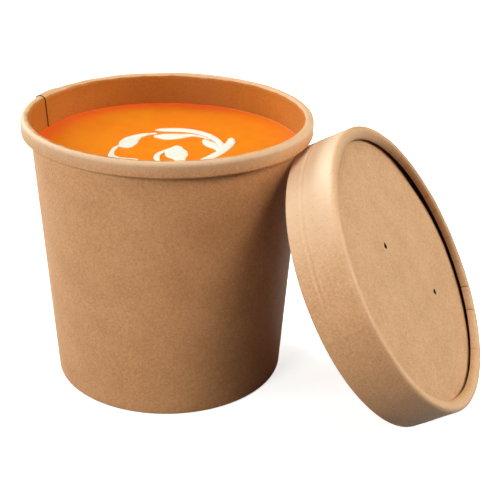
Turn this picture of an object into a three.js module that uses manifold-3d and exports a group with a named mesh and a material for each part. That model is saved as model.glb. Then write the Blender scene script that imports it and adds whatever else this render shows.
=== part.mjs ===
// Takeaway soup container: a kraft paper cup filled with soup, and its vented paper lid leaning on it.
// Millimetres, +Z up. The cup's axis is the Z axis of the inner group, and the foot and the lid's
// lowest point stand at z = 0. The whole is shifted last, so that its box is centred over the origin.

import * as THREE from 'three';
import { mergeVertices } from 'three/addons/utils/BufferGeometryUtils.js';
import Module from 'manifold-3d';

// Paper, clearances and facets
const PAPER = 0.6;
const GAP = 0.3;
const SIDES = 60;
const ARC_STEPS = 6;
const MERGE_DISTANCE = 1e-4;

// Cup
const CUP_HEIGHT = 111.9;
const FOOT_RADIUS = 48;
const WALL_LEAN = THREE.MathUtils.degToRad(3.5);
const FOOT_CHAMFER = 0.5;
const HEM_HEIGHT = 7.9;
const RIM_RADIUS = 58;
const ROLL_WIDTH = 4.4;
const ROLL_HEIGHT = 7.2;
const NECK_HEIGHT = 103.5;
const ROLL_START = THREE.MathUtils.degToRad(215);
const ROLL_END = THREE.MathUtils.degToRad(-92);

// Lap seam inside the wall
const SEAM_ANGLE = THREE.MathUtils.degToRad(159.6);
const LAP_WIDTH = 8;
const LAP_THICKNESS = 0.5;
const LAP_TOP = 103;

// Base disc, with its skirt held in the wall's hem
const BASE_LEVEL = 10;
const BASE_SKIRT_END = 2;
const BASE_CORNER = 1.5;

// Soup and cream
const SOUP_LEVEL = 98.9;
const CREAM_HEIGHT = 0.6;
const CREAM_ROOT = 1;
const STROKE_STEPS = 14;
const STROKE_END_STEPS = 3;

// Lid
const LID_RADIUS = 60.2;
const LID_TOP_RADIUS = 59.75;
const LID_HEIGHT = 20.75;
const LID_HEM = 7.5;
const LID_EDGE_BEND = 0.6;
const FOLD_WIDTH = 3.2;
const FOLD_INNER_LEAN = 1.9;
const FOLD_END_GAP = 1.1;
const PANEL_DEPTH = 4.35;
const FLANGE_HEIGHT = 2.1;
const FLANGE_RADIUS = 58.55;
const VENT_RADIUS = 1.1;
const VENT_SIDES = 14;
const VENTS = [[-13.5, -7.1], [19.8, 17.7]];

// How the lid leans: from the cup's axis to the middle of its open end, the way its top faces, and its tilt
const LID_REACH = 85.9;
const LID_BEARING = THREE.MathUtils.degToRad(-21.6);
const LID_HEADING = THREE.MathUtils.degToRad(-24.55);
const LID_TILT = THREE.MathUtils.degToRad(58.17);

// Strokes of cream, as x, y and half width along the middle of each stroke
const CREAM_STROKES = [
  [[-5.6, 15, 0.6], [-3.2, 15.4, 1.8], [0.8, 15.6, 2.3], [6.4, 15.1, 2.3], [11.6, 12.8, 2.1], [15.8, 9, 1.9],
    [18.9, 3.6, 1.7], [20.6, -1.8, 1.5], [20.5, -7.1, 1.2], [18.8, -12.4, 1]],
  [[-4.8, 6.9, 1.8], [-2.6, 6.9, 3.5], [0.6, 7, 3.9], [4.6, 7.7, 3], [9, 8.7, 1.7], [13.4, 7, 1.3],
    [16.2, 4.3, 0.8]],
  [[-17.2, -4.1, 3.2], [-16.5, -0.9, 3.9], [-15.3, 3.3, 3.5], [-12.7, 7.2, 2.1], [-9.5, 9.5, 1.2],
    [-5.6, 11, 0.8]],
  [[-19.4, -3.2, 0.6], [-21.4, -7.1, 1], [-22.4, -12.2, 1.1], [-22.3, -16.8, 1.5], [-19.9, -19.8, 1.9],
    [-15.8, -20.8, 1.5], [-12.8, -21.2, 1.1]],
  [[14.9, 2.4, 1.6], [16.4, -0.9, 3.4], [17.7, -4.2, 2.8], [19, -8, 1.3], [19.5, -11.4, 0.7]],
  [[25.2, 3.8, 1.5], [25, 0.8, 2], [23.4, -4.2, 2.1], [21, -10, 2], [17.6, -15.4, 1.9], [14.3, -19.6, 1.7],
    [10.8, -23.2, 1]],
  [[3, -7.4, 2.6], [2.8, -9.8, 4.1], [2.7, -13.1, 4.7], [3.2, -16.8, 4.2], [3.9, -19.5, 2.6]],
  [[0.8, -7.6, 0.9], [-2, -10.6, 0.9], [-4.2, -13.8, 1.1], [-5, -18.2, 1.4], [-4.2, -22.4, 1]],
  [[-7, -27, 2.6], [-3.4, -28, 2.8], [1.8, -28.2, 2], [7, -26.6, 1.2], [9.8, -24.6, 0.7]],
];

const kraft = (name, color) => new THREE.MeshStandardMaterial({ name, color, roughness: 0.75, metalness: 0 });
const MATERIALS = {
  wall: kraft('kraft paper, cup wall', 0xc69a72),
  base: kraft('kraft paper, cup base', 0xb98c64),
  ring: kraft('kraft paper, lid ring', 0xd4a67a),
  panel: kraft('kraft paper, lid panel', 0xd5a87d),
  soup: new THREE.MeshStandardMaterial({ name: 'soup', color: 0xf07f22, roughness: 0.3, metalness: 0 }),
};

const wasm = await Module();
wasm.setup();

// A closed solid from a three.js geometry, and back
function toSolid(geometry) {
  const bare = geometry.clone();
  bare.deleteAttribute('normal');
  bare.deleteAttribute('uv');
  const merged = mergeVertices(bare, MERGE_DISTANCE);
  return new wasm.Manifold(new wasm.Mesh({
    numProp: 3,
    vertProperties: new Float32Array(merged.attributes.position.array),
    triVerts: new Uint32Array(merged.index.array),
  }));
}

function toGeometry(solid) {
  const mesh = solid.getMesh();
  const geometry = new THREE.BufferGeometry();
  geometry.setAttribute('position', new THREE.BufferAttribute(new Float32Array(mesh.vertProperties), 3));
  geometry.setIndex(new THREE.BufferAttribute(new Uint32Array(mesh.triVerts), 1));
  geometry.computeVertexNormals();
  return geometry;
}

// A closed outline in the radius and height plane, turned about the Z axis
function turned(outline) {
  return new THREE.LatheGeometry(outline, SIDES).rotateX(Math.PI / 2);
}

// The outline of one ply of paper, half a thickness to each side of its middle line
function ply(path) {
  const middle = path.getPoints(ARC_STEPS);
  const last = middle.length - 1;
  const side = (sign) => middle.map((point, i) => {
    const before = point.clone().sub(middle[Math.max(i - 1, 0)]).normalize();
    const after = middle[Math.min(i + 1, last)].clone().sub(point).normalize();
    if (i === 0) before.copy(after);
    if (i === last) after.copy(before);
    const bisector = before.clone().add(after).normalize();
    const reach = (sign * PAPER / 2) / bisector.dot(before);
    return new THREE.Vector2(point.x - bisector.y * reach, point.y + bisector.x * reach);
  });
  return [...side(-1), ...side(1).reverse()];
}

// A ply that ends on the axis or closes on itself, as a lathe needs it
function turnedPly(path, endsOnAxis) {
  const outline = ply(path);
  if (endsOnAxis) {
    const half = outline.length / 2;
    outline[half - 1].x = 0;
    outline[half].x = 0;
    return turned([...outline.slice(half), ...outline.slice(0, half)]);
  }
  return turned([...outline, outline[0].clone()]);
}

// Radius of the middle of the cup's wall at a height
const wallMiddle = (z) => FOOT_RADIUS + z * Math.tan(WALL_LEAN) - PAPER / 2;
const hemSpacing = 2 * PAPER + 2 * GAP;

// Side wall: up from the folded-in hem, round the foot, up the side and over into the rolled rim
function cupWall() {
  const hemMiddle = (z) => wallMiddle(z) - hemSpacing;
  const low = PAPER / 2;
  const bend = low + FOOT_CHAMFER;
  const path = new THREE.Path();
  path.moveTo(hemMiddle(HEM_HEIGHT), HEM_HEIGHT);
  path.lineTo(hemMiddle(bend), bend);
  path.lineTo(hemMiddle(low) + FOOT_CHAMFER, low);
  path.lineTo(wallMiddle(low) - FOOT_CHAMFER, low);
  path.lineTo(wallMiddle(bend), bend);
  path.lineTo(wallMiddle(NECK_HEIGHT), NECK_HEIGHT);
  path.absellipse(RIM_RADIUS - ROLL_WIDTH / 2, CUP_HEIGHT - ROLL_HEIGHT / 2, (ROLL_WIDTH - PAPER) / 2,
    (ROLL_HEIGHT - PAPER) / 2, ROLL_START, ROLL_END, true);
  return toGeometry(toSolid(turnedPly(path, false)).add(seamLap(0)));
}

// The strip where the wall's ends lap, on the inside; grown all round for the room it needs in the soup
function seamLap(growth) {
  const inner = (z) => wallMiddle(z) - PAPER / 2;
  const low = HEM_HEIGHT + BASE_CORNER + PAPER + GAP - growth;
  const thickness = LAP_THICKNESS + growth;
  const root = PAPER / 2;
  const shell = turned([
    new THREE.Vector2(inner(low) - thickness, low),
    new THREE.Vector2(inner(low) + root, low),
    new THREE.Vector2(inner(LAP_TOP) + root, LAP_TOP),
    new THREE.Vector2(inner(LAP_TOP) - thickness, LAP_TOP),
    new THREE.Vector2(inner(low) - thickness, low),
  ]);
  const width = LAP_WIDTH + 2 * growth;
  const window = new THREE.BoxGeometry(RIM_RADIUS, width, 2 * CUP_HEIGHT);
  window.translate(RIM_RADIUS / 2, -LAP_WIDTH / 2, CUP_HEIGHT);
  window.rotateZ(SEAM_ANGLE);
  return toSolid(shell).intersect(toSolid(window));
}

// Base disc, raised above the foot, with its skirt turned down between the wall and the hem
function cupBase() {
  const skirt = (z) => wallMiddle(z) - hemSpacing / 2;
  const path = new THREE.Path();
  path.moveTo(skirt(BASE_SKIRT_END), BASE_SKIRT_END);
  path.lineTo(skirt(BASE_LEVEL - BASE_CORNER), BASE_LEVEL - BASE_CORNER);
  path.lineTo(skirt(BASE_LEVEL) - BASE_CORNER, BASE_LEVEL);
  path.lineTo(0, BASE_LEVEL);
  return turnedPly(path, true);
}

// Closed outline of one stroke of cream, with round ends
function strokeShape(stops) {
  const curve = new THREE.CatmullRomCurve3(stops.map(([x, y, half]) => new THREE.Vector3(x, y, half)));
  const left = [];
  const right = [];
  for (const t of Array.from({ length: STROKE_STEPS + 1 }, (_, i) => i / STROKE_STEPS)) {
    const point = curve.getPoint(t);
    const along = curve.getTangent(t).setZ(0).normalize();
    left.push(new THREE.Vector2(point.x - along.y * point.z, point.y + along.x * point.z));
    right.push(new THREE.Vector2(point.x + along.y * point.z, point.y - along.x * point.z));
  }
  const cap = (from, to) => {
    const middle = from.clone().add(to).multiplyScalar(0.5);
    const arm = from.clone().sub(middle);
    return Array.from({ length: STROKE_END_STEPS }, (_, i) => (
      arm.clone().rotateAround(new THREE.Vector2(), -Math.PI * (i + 1) / (STROKE_END_STEPS + 1)).add(middle)
    ));
  };
  const end = cap(left[STROKE_STEPS], right[STROKE_STEPS]);
  const start = cap(right[0], left[0]);
  return new THREE.Shape([...left, ...end, ...right.reverse(), ...start]);
}

// Soup up to its level, clear of the paper all round, with the drizzled cream fused on as low relief
function soup() {
  const low = BASE_LEVEL + PAPER / 2 + GAP;
  const reach = (z) => wallMiddle(z) - PAPER / 2 - GAP;
  const body = toSolid(turned([
    new THREE.Vector2(0, low),
    new THREE.Vector2(reach(low) - BASE_CORNER, low),
    new THREE.Vector2(reach(low + BASE_CORNER), low + BASE_CORNER),
    new THREE.Vector2(reach(SOUP_LEVEL), SOUP_LEVEL),
    new THREE.Vector2(0, SOUP_LEVEL),
  ]));
  let whole = body.subtract(seamLap(GAP));
  for (const stops of CREAM_STROKES) {
    const settings = { depth: CREAM_ROOT + CREAM_HEIGHT, bevelEnabled: false };
    const stroke = new THREE.ExtrudeGeometry(strokeShape(stops), settings);
    whole = whole.add(toSolid(stroke.translate(0, 0, SOUP_LEVEL - CREAM_ROOT)));
  }
  return toGeometry(whole);
}

// Radius of the middle of the lid's skirt at a height above its open end
const skirtMiddle = (s) => THREE.MathUtils.lerp(LID_RADIUS, LID_TOP_RADIUS, s / LID_HEIGHT) - PAPER / 2;
const foldMiddle = LID_TOP_RADIUS - FOLD_WIDTH / 2;
const foldReach = (FOLD_WIDTH - PAPER) / 2;
const panelLevel = LID_HEIGHT - PANEL_DEPTH;

// Middle line of the lid ring's ply: up from the hem turned in at the open end, up the skirt, over the fold
// and down to the panel
function lidRingPath() {
  const low = PAPER / 2;
  const foldLevel = LID_HEIGHT - FOLD_WIDTH / 2;
  const path = new THREE.Path();
  path.moveTo(skirtMiddle(LID_HEM) - PAPER, LID_HEM);
  path.lineTo(skirtMiddle(LID_HEM) - 2 * PAPER, LID_HEM - PAPER);
  path.lineTo(skirtMiddle(0) - 2 * PAPER, low + LID_EDGE_BEND);
  path.lineTo(skirtMiddle(0) - PAPER, low);
  path.lineTo(skirtMiddle(0), low + LID_EDGE_BEND);
  path.absellipse(foldMiddle, foldLevel, foldReach, foldReach, 0, Math.PI, false);
  path.lineTo(foldMiddle - foldReach - FOLD_INNER_LEAN, panelLevel + PAPER / 2 + FOLD_END_GAP);
  return path;
}

// Lid panel: a disc let in below the fold, its flange turned up inside it, with two vent holes
function lidPanel() {
  const path = new THREE.Path();
  path.moveTo(FLANGE_RADIUS, panelLevel + FLANGE_HEIGHT);
  path.lineTo(FLANGE_RADIUS, panelLevel + PAPER);
  path.lineTo(FLANGE_RADIUS - PAPER, panelLevel);
  path.lineTo(0, panelLevel);
  let disc = toSolid(turnedPly(path, true));
  for (const [x, y] of VENTS) {
    const vent = new THREE.CylinderGeometry(VENT_RADIUS, VENT_RADIUS, 4 * PAPER, VENT_SIDES);
    disc = disc.subtract(toSolid(vent.rotateX(Math.PI / 2).translate(x, y, panelLevel)));
  }
  return toGeometry(disc);
}

function named(name, geometry, material) {
  const mesh = new THREE.Mesh(geometry, material);
  mesh.name = name;
  return mesh;
}

// The lid in its own group, turned so that its top faces out from the cup and its edge stands on the floor
function leaningLid() {
  const ring = lidRingPath();
  const outline = ply(ring);
  const depth = outline.map((point) => point.x * Math.sin(LID_TILT) - point.y * Math.cos(LID_TILT));
  const lid = new THREE.Group();
  lid.add(named('lid_ring', turnedPly(ring, false), MATERIALS.ring));
  lid.add(named('lid_panel', lidPanel(), MATERIALS.panel));
  lid.rotation.set(0, LID_TILT, LID_HEADING, 'ZYX');
  lid.position.set(LID_REACH * Math.cos(LID_BEARING), LID_REACH * Math.sin(LID_BEARING), Math.max(...depth));
  return lid;
}

const container = new THREE.Group();
container.add(named('cup_wall', cupWall(), MATERIALS.wall));
container.add(named('cup_base', cupBase(), MATERIALS.base));
container.add(named('soup', soup(), MATERIALS.soup));
container.add(leaningLid());

const box = new THREE.Box3().setFromObject(container, true);
const middle = box.getCenter(new THREE.Vector3());
container.position.set(-middle.x, -middle.y, -box.min.z);

const group = new THREE.Group();
group.add(container);
export default group;
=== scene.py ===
"""Takeaway soup container: a kraft paper cup of orange soup with a swirl of cream, and its vented paper
lid, which leans on the cup's side. Metres, +Z up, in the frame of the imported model."""

import math

import bmesh
import bpy
import numpy as np
from bpy.props import FloatProperty, FloatVectorProperty, PointerProperty
from bpy.types import Operator, Panel, PropertyGroup
from mathutils import Matrix, Vector, noise


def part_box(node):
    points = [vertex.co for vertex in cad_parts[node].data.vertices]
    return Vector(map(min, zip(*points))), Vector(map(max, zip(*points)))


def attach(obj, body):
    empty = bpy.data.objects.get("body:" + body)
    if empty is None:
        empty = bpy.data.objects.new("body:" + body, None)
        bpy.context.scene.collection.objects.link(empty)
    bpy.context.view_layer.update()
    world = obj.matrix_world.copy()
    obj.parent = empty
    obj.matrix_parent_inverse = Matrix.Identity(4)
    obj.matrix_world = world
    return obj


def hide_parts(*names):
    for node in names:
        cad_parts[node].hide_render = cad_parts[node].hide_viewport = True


bl_info = {
    "name": "Takeaway soup container",
    "version": (1, 0, 0),
    "blender": (4, 5, 0),
    "location": "3D View > Sidebar > Soup container",
    "description": "Builds a kraft paper soup cup with its soup, its swirl of cream and its leaning lid",
    "category": "Add Mesh",
}

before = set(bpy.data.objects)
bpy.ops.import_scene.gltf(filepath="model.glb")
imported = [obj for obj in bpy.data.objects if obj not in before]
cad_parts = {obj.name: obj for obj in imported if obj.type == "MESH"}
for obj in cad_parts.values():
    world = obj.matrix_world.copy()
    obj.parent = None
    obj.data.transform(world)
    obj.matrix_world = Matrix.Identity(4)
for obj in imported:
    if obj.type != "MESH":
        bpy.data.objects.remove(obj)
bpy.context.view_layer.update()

MM = 0.001
BODY = "root"
PHOTO_PIXELS = 500

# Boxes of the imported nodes, which the sizes below start from
wall_low, wall_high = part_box("cup_wall")
soup_low, soup_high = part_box("soup")
CUP_AXIS = Vector(((wall_low.x + wall_high.x) / 2, (wall_low.y + wall_high.y) / 2, 0.0))
CUP_PLACE = Matrix.Translation(CUP_AXIS)

# Strokes of cream in millimetres: x, y and half width along the middle of each stroke
CREAM_STROKES = (
    ((-5.6, 15, 0.6), (-3.2, 15.4, 1.8), (0.8, 15.6, 2.3), (6.4, 15.1, 2.3), (11.6, 12.8, 2.1),
     (15.8, 9, 1.9), (18.9, 3.6, 1.7), (20.6, -1.8, 1.5), (20.5, -7.1, 1.2), (18.8, -12.4, 1)),
    ((-4.8, 6.9, 1.8), (-2.6, 6.9, 3.4), (0.6, 7, 3.7), (4.6, 7.7, 2.8), (9, 8.6, 1.4), (13.4, 6.8, 0.9),
     (16.0, 4.1, 0.6)),
    ((-17.2, -4.1, 3.2), (-16.5, -0.9, 3.9), (-15.3, 3.3, 3.5), (-12.7, 7.2, 2.1), (-9.5, 9.5, 1.2),
     (-5.6, 11, 0.8)),
    ((-19.4, -3.2, 0.6), (-21.4, -7.1, 1), (-22.4, -12.2, 1.1), (-22.3, -16.8, 1.5), (-19.9, -19.8, 1.9),
     (-15.8, -20.8, 1.5), (-12.8, -21.2, 1.1)),
    ((14.3, 1.8, 1.3), (15.8, -1.0, 2.6), (17.3, -4.2, 2.5), (19, -8, 1.3), (19.5, -11.4, 0.7)),
    ((25.2, 3.8, 1.5), (25, 0.8, 2), (23.4, -4.2, 2.1), (21, -10, 2), (17.6, -15.4, 1.9), (14.3, -19.6, 1.7),
     (10.8, -23.2, 1)),
    ((3, -7.4, 2.6), (2.8, -9.8, 4.1), (2.7, -13.1, 4.7), (3.2, -16.8, 4.2), (3.9, -19.5, 2.6)),
    ((0.8, -7.6, 0.9), (-2, -10.6, 0.9), (-4.2, -13.8, 1.1), (-5, -18.2, 1.4), (-4.2, -22.4, 1)),
    ((-7, -27, 2.6), (-3.4, -28, 2.8), (1.8, -28.2, 2), (7, -26.6, 1.2), (9.8, -24.6, 0.7)),
)


# Settings that a user would change
def length(name, description, default):
    return FloatProperty(name=name, description=description, default=default, unit="LENGTH", precision=5)


def angle(name, description, degrees):
    return FloatProperty(name=name, description=description, default=math.radians(degrees), unit="ROTATION")


def colour(name, description, default):
    return FloatVectorProperty(
        name=name, description=description, default=(*default, 1.0), size=4, subtype="COLOR", min=0, max=1
    )


def amount(name, description, default):
    return FloatProperty(name=name, description=description, default=default, min=0.0)


class CupSizes(PropertyGroup):
    """Sizes of the paper cup."""

    height: length("Height", "Height of the cup to the top of its rim", wall_high.z)
    rim_radius: length("Rim radius", "Outer radius of the rolled rim", (wall_high.x - wall_low.x) / 2)
    foot_radius: length("Foot radius", "Outer radius where the cup stands", 48 * MM)
    wall_lean: angle("Wall lean", "How far the side wall leans out", 3.5)
    paper: length("Paper", "Thickness of one ply of paper", 0.6 * MM)
    ply_gap: length("Ply gap", "Gap between plies that are glued on the real cup", 0.3 * MM)
    hem_height: length("Hem height", "Height of the hem folded in at the foot", 7.9 * MM)
    roll_height: length("Roll height", "Height of the rolled rim's section", 7.2 * MM)
    base_level: length("Base level", "Height of the middle of the base disc", 10 * MM)
    seam_angle: angle("Seam angle", "Direction of the raw edge of the lap seam inside the cup", 159.6)
    lap_width: length("Lap width", "Width over which the ends of the wall lap", 8 * MM)


class SoupSizes(PropertyGroup):
    """Sizes of the soup and its cream."""

    cream_height: length("Cream height", "How far the cream stands above the soup", 0.6 * MM)
    meniscus: length("Meniscus", "How far the soup climbs the paper", 0.25 * MM)


class LidSizes(PropertyGroup):
    """Sizes of the lid and how it leans."""

    radius: length("Radius", "Outer radius at the open end", 60.2 * MM)
    top_radius: length("Top radius", "Outer radius at the closed end", 59.75 * MM)
    height: length("Height", "Height of the lid's side", 20.75 * MM)
    hem: length("Hem", "Height of the hem turned in at the open end", 7.5 * MM)
    fold_width: length("Fold width", "Thickness of the fold round the top", 3.2 * MM)
    panel_depth: length("Panel depth", "How far the panel is let in below the fold", 4.35 * MM)
    flange_radius: length("Flange radius", "Radius of the panel's turned-up flange", 58.55 * MM)
    flange_height: length("Flange height", "Height of the panel's turned-up flange", 2.1 * MM)
    vent_radius: length("Vent radius", "Radius of the steam vents", 1.25 * MM)
    reach: length("Reach", "From the cup's axis to the middle of the lid's open end", 85.9 * MM)
    bearing: angle("Bearing", "Direction from the cup's axis to the lid", -21.6)
    heading: angle("Heading", "Direction that the lid's top faces", -24.55)
    tilt: angle("Tilt", "How far the lid is tilted from lying flat", 58.17)


class PaperFinish(PropertyGroup):
    """Colours of the kraft paper, some of which paint light and shade on it."""

    # The cup, lid and panel are one kraft; their colours differ to paint how brightly each is lit.
    cup: colour("Cup", "Kraft paper of the cup's side", (0.73, 0.36, 0.165))
    lid: colour("Lid", "Kraft paper of the lid's side", (0.735, 0.38, 0.184))
    # Painted sheen on the lid's upper side and painted highlight on the fold's near crest.
    lid_pale_and_sheen: colour("Rubbed lid", "Kraft paper of the lid where it is rubbed pale", (0.93, 0.63, 0.42))
    panel: colour("Panel", "Kraft paper of the lid's panel", (0.715, 0.393, 0.214))
    # Pale colour: paper stretched round the roll and fold, and also a painted highlight on the roll's top and
    # the lid's fold.
    pale: colour("Pale edge", "Paper stretched round a roll or fold", (0.75, 0.51, 0.335))
    shade: colour("Shaded fold", "Paper on the inner side of the lid's fold", (0.31, 0.105, 0.020))
    # Near black: the painted shade of the torn cones in the vents, and the painted shadow on the panel under
    # the fold.
    torn: colour("Torn paper", "Torn paper in the vents and under the fold", (0.022, 0.009, 0.004))
    fibre: colour("Fibre", "Dark fibres and specks", (0.20, 0.09, 0.035))
    # The lining colour is painted light and shade: the soup's orange light reflected on the paper, and the
    # shade inside the cup.
    lining: colour("Lining", "Coated paper inside the cup, stained by the soup", (0.505, 0.172, 0.028))
    # Near-black colour of the seam's cut edge, also used as painted shade at the back of the lining and in
    # the vent cones.
    raw_edge: colour("Raw edge", "Cut edge of the paper, soaked by the soup", (0.06, 0.012, 0.003))


class FoodFinish(PropertyGroup):
    """Colours of the soup and the cream, with a painted reflection, shade and highlight on the soup."""

    soup: colour("Soup", "Soup in the middle of the cup", (0.91, 0.207, 0.0095))
    # Painted reflection of the paper and painted shade where the soup meets the wall.
    soup_wall_reflection_and_shade: colour("Soup edge", "Soup near the paper", (0.85, 0.105, 0.014))
    soup_light: colour("Light soup", "Patches where the soup is thinner and yellower", (0.93, 0.247, 0.0105))
    # Painted highlight colour along the soup's edge.
    meniscus: colour("Meniscus", "Line where the soup's edge catches the light", (0.90, 0.55, 0.36))
    cream: colour("Cream", "Cream where it is thick", (0.95, 0.905, 0.82))
    cream_edge: colour("Cream edge", "Cream where it thins out into the soup", (0.88, 0.62, 0.32))


class StudioSetup(PropertyGroup):
    """Light, floor and camera."""

    floor: colour("Floor", "Colour of the pale floor", (0.9, 0.9, 0.9))
    glow: amount("Floor glow", "How much the floor shines on its own, to keep it pale", 0.75)
    backdrop: amount("Backdrop", "Brightness of the white surroundings behind the floor", 1.0)
    lamps: amount("Lamps", "Strength of all studio lamps together", 1.0)


# Shader maths
class Value:
    """A number, colour or vector that varies over a surface; sums on it add Math nodes."""

    def __init__(self, shader, socket):
        self.shader = shader
        self.socket = socket

    def _math(self, operation, *terms):
        return self.shader.node("ShaderNodeMath", dict(enumerate(terms)), operation=operation)

    def __add__(self, other):
        return self._math("ADD", self, other)

    def __sub__(self, other):
        return self._math("SUBTRACT", self, other)

    def __rsub__(self, other):
        return self._math("SUBTRACT", other, self)

    def __mul__(self, other):
        return self._math("MULTIPLY", self, other)

    def __abs__(self):
        return self._math("ABSOLUTE", self)

    def __gt__(self, other):
        return self._math("GREATER_THAN", self, other)

    def __lt__(self, other):
        return self._math("LESS_THAN", self, other)

    __radd__ = __add__
    __rmul__ = __mul__

    def hypot(self, other):
        return self._math("SQRT", self * self + other * other)

    def direction(self, across):
        return self._math("ARCTAN2", self, across)

    def ramp(self, start, end):
        """0 before start, 1 after end, and smooth between them."""
        inputs = {"Value": self, "From Min": start, "From Max": end}
        return self.shader.node("ShaderNodeMapRange", inputs, interpolation_type="SMOOTHSTEP")


class Shader:
    """The nodes of one material or world, which ends in the node named by surface."""

    def __init__(self, owner, surface="Principled BSDF"):
        owner.use_nodes = True
        self.owner = owner
        self.tree = owner.node_tree
        self.surface = self.tree.nodes[surface]

    def node(self, kind, inputs=None, output=0, **settings):
        """Adds a node with its settings and inputs, and gives one of its outputs."""
        made = self.tree.nodes.new(kind)
        for setting, value in settings.items():
            setattr(made, setting, value)
        for key, value in (inputs or {}).items():
            self.connect(made.inputs[key], value)
        return Value(self, made.outputs[output])

    def connect(self, socket, value):
        if isinstance(value, Value):
            self.tree.links.new(value.socket, socket)
        else:
            socket.default_value = value

    def mix(self, factor, first, second):
        """The first colour where factor is 0, the second where it is 1."""
        inputs = {0: factor, 6: first, 7: second}
        return self.node("ShaderNodeMix", inputs, output=2, data_type="RGBA")

    def place(self, matrix):
        """Position on the piece in its own axes, given where those stand in the frame."""
        spot, turn, _ = matrix.decompose()
        here = self.node("ShaderNodeTexCoord", output="Object")
        inputs = {"Vector": here, "Location": tuple(spot), "Rotation": tuple(turn.to_euler())}
        return self.node("ShaderNodeMapping", inputs, vector_type="TEXTURE")

    def split(self, vector):
        made = self.node("ShaderNodeSeparateXYZ", {0: vector})
        outputs = made.socket.node.outputs
        return tuple(Value(self, outputs[axis]) for axis in "XYZ")

    def join(self, x, y, z):
        return self.node("ShaderNodeCombineXYZ", {0: x, 1: y, 2: z})

    def noise(self, vector, size, detail=2.0, roughness=0.5, distortion=0.0):
        """Noise whose features are about the given size in metres."""
        inputs = {"Vector": vector, "Scale": 1.0 / size, "Detail": detail, "Roughness": roughness,
                  "Distortion": distortion}
        return self.node("ShaderNodeTexNoise", inputs)

    def stretched(self, vector, scale, turn=(0.0, 0.0, 0.0)):
        return self.node("ShaderNodeMapping", {"Vector": vector, "Rotation": turn, "Scale": scale})

    def bump(self, height, depth, strength=1.0):
        return self.node("ShaderNodeBump", {"Height": height, "Distance": depth, "Strength": strength})

    def finish(self, **sockets):
        """Sets or links sockets of the surface and gives back the material or world."""
        for name, value in sockets.items():
            self.connect(self.surface.inputs[name.replace("_", " ")], value)
        return self.owner


def new_shader(name):
    """The shader of a new material."""
    return Shader(bpy.data.materials.new(name))


# Paper
FIBRE_SIZE = 0.55 * MM
FIBRE_STRETCH = 0.12
FIBRE_TURNS = ((0.0, 0.3, 0.2), (1.2, 0.2, 0.9), (0.4, 1.3, 2.1))
SPECK_CELL = 4.5 * MM
PAPER_RELIEF = 0.05 * MM
DARK_KRAFT = (0.80, 0.73, 0.64, 1.0)
LIGHT_KRAFT = (1.15, 1.20, 1.27, 1.0)


def scaled(base, scales):
    """A colour with each channel scaled, but not past 1."""
    return tuple(min(channel * scale, 1.0) for channel, scale in zip(base, scales))


def added(values):
    """Sum of several values, without the zero that sum would start from."""
    first, *others = values
    return sum(others, first)


def paper_tone(shader, place):
    """Cloud, mottle and grain of kraft paper, from 0 dark to 1 light."""
    cloud = shader.noise(place, 14 * MM, 2.0)
    mottle = shader.noise(place, 0.9 * MM, 3.0, 0.6)
    grain = shader.noise(place, 0.35 * MM, 2.0)
    return cloud * 0.3 + mottle * 0.7 + grain * 0.6 - 0.3


def paper_fibres(shader, place):
    """Thin fibres in several directions, 1 along a fibre and 0 beside it."""
    patch = shader.noise(place, 2.5 * MM, 1.0).ramp(0.5, 0.66)
    fibres = []
    for turn in FIBRE_TURNS:
        lines = shader.stretched(place, (FIBRE_STRETCH, 1.0, 1.0), turn)
        wave = shader.noise(lines, FIBRE_SIZE, 1.0, 0.4, 0.6)
        fibres.append((1.0 - abs(wave - 0.5).ramp(0.0, 0.022)) * patch)
    return added(fibres)


def paper_specks(shader, place):
    """Small dark specks, scattered sparsely."""
    inputs = {"Vector": place, "Scale": 1.0 / SPECK_CELL, "Randomness": 1.0}
    distance = shader.node("ShaderNodeTexVoronoi", inputs, output="Distance")
    cell = shader.node("ShaderNodeTexVoronoi", inputs, output="Color")
    chosen = shader.split(cell)[0] > 0.72
    return (1.0 - distance.ramp(0.03, 0.075)) * chosen


def kraft(name, base, finish, matrix, pale=None, pale_and_highlight_mask=None, streaks=None, shade=None,
          shade_mask=None, roughness=0.55, gloss=0.35):
    """Kraft paper of a base colour, with the pale colour (paler paper, with painted highlight and sheen)
    where its pale mask is 1, and the painted shade where its shade mask is 1. streaks adds creases to its
    relief."""
    shader = new_shader(name)
    place = shader.place(matrix)
    tone = paper_tone(shader, place)
    fibres = paper_fibres(shader, place)
    specks = paper_specks(shader, place)
    colour = shader.mix(tone.ramp(0.2, 0.8), scaled(base, DARK_KRAFT), scaled(base, LIGHT_KRAFT))
    if pale_and_highlight_mask is not None:
        colour = shader.mix(pale_and_highlight_mask(shader, place), colour, tuple(pale))
    if shade_mask is not None:
        colour = shader.mix(shade_mask(shader, place), colour, tuple(shade))
    colour = shader.mix(fibres * 0.16, colour, tuple(finish.fibre))
    colour = shader.mix(specks * 0.55, colour, tuple(finish.fibre))
    height = tone + fibres * 0.35
    if streaks is not None:
        height = height + streaks(shader, place)
    return shader.finish(
        Base_Color=colour,
        Roughness=roughness + (tone - 0.5) * 0.12,
        Normal=shader.bump(height, PAPER_RELIEF, 0.6),
        Specular_IOR_Level=gloss,
    )


# Meshes
SAME_POINT = 1e-7


def arc(centre, reach, start, end, steps, fullness=1.0):
    """Points of an elliptic arc in the radius and height plane, from one angle in degrees to another. A
    fullness below 1 squares the ellipse up."""
    turn = np.radians(np.linspace(start, end, steps + 1))
    across, up = np.cos(turn), np.sin(turn)
    across = np.sign(across) * np.abs(across) ** fullness
    up = np.sign(up) * np.abs(up) ** fullness
    return np.column_stack([centre[0] + reach[0] * across, centre[1] + reach[1] * up])


def line(start, end, steps):
    """Points of a straight stretch, with both its ends."""
    return np.linspace(start, end, steps + 1)


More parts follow.
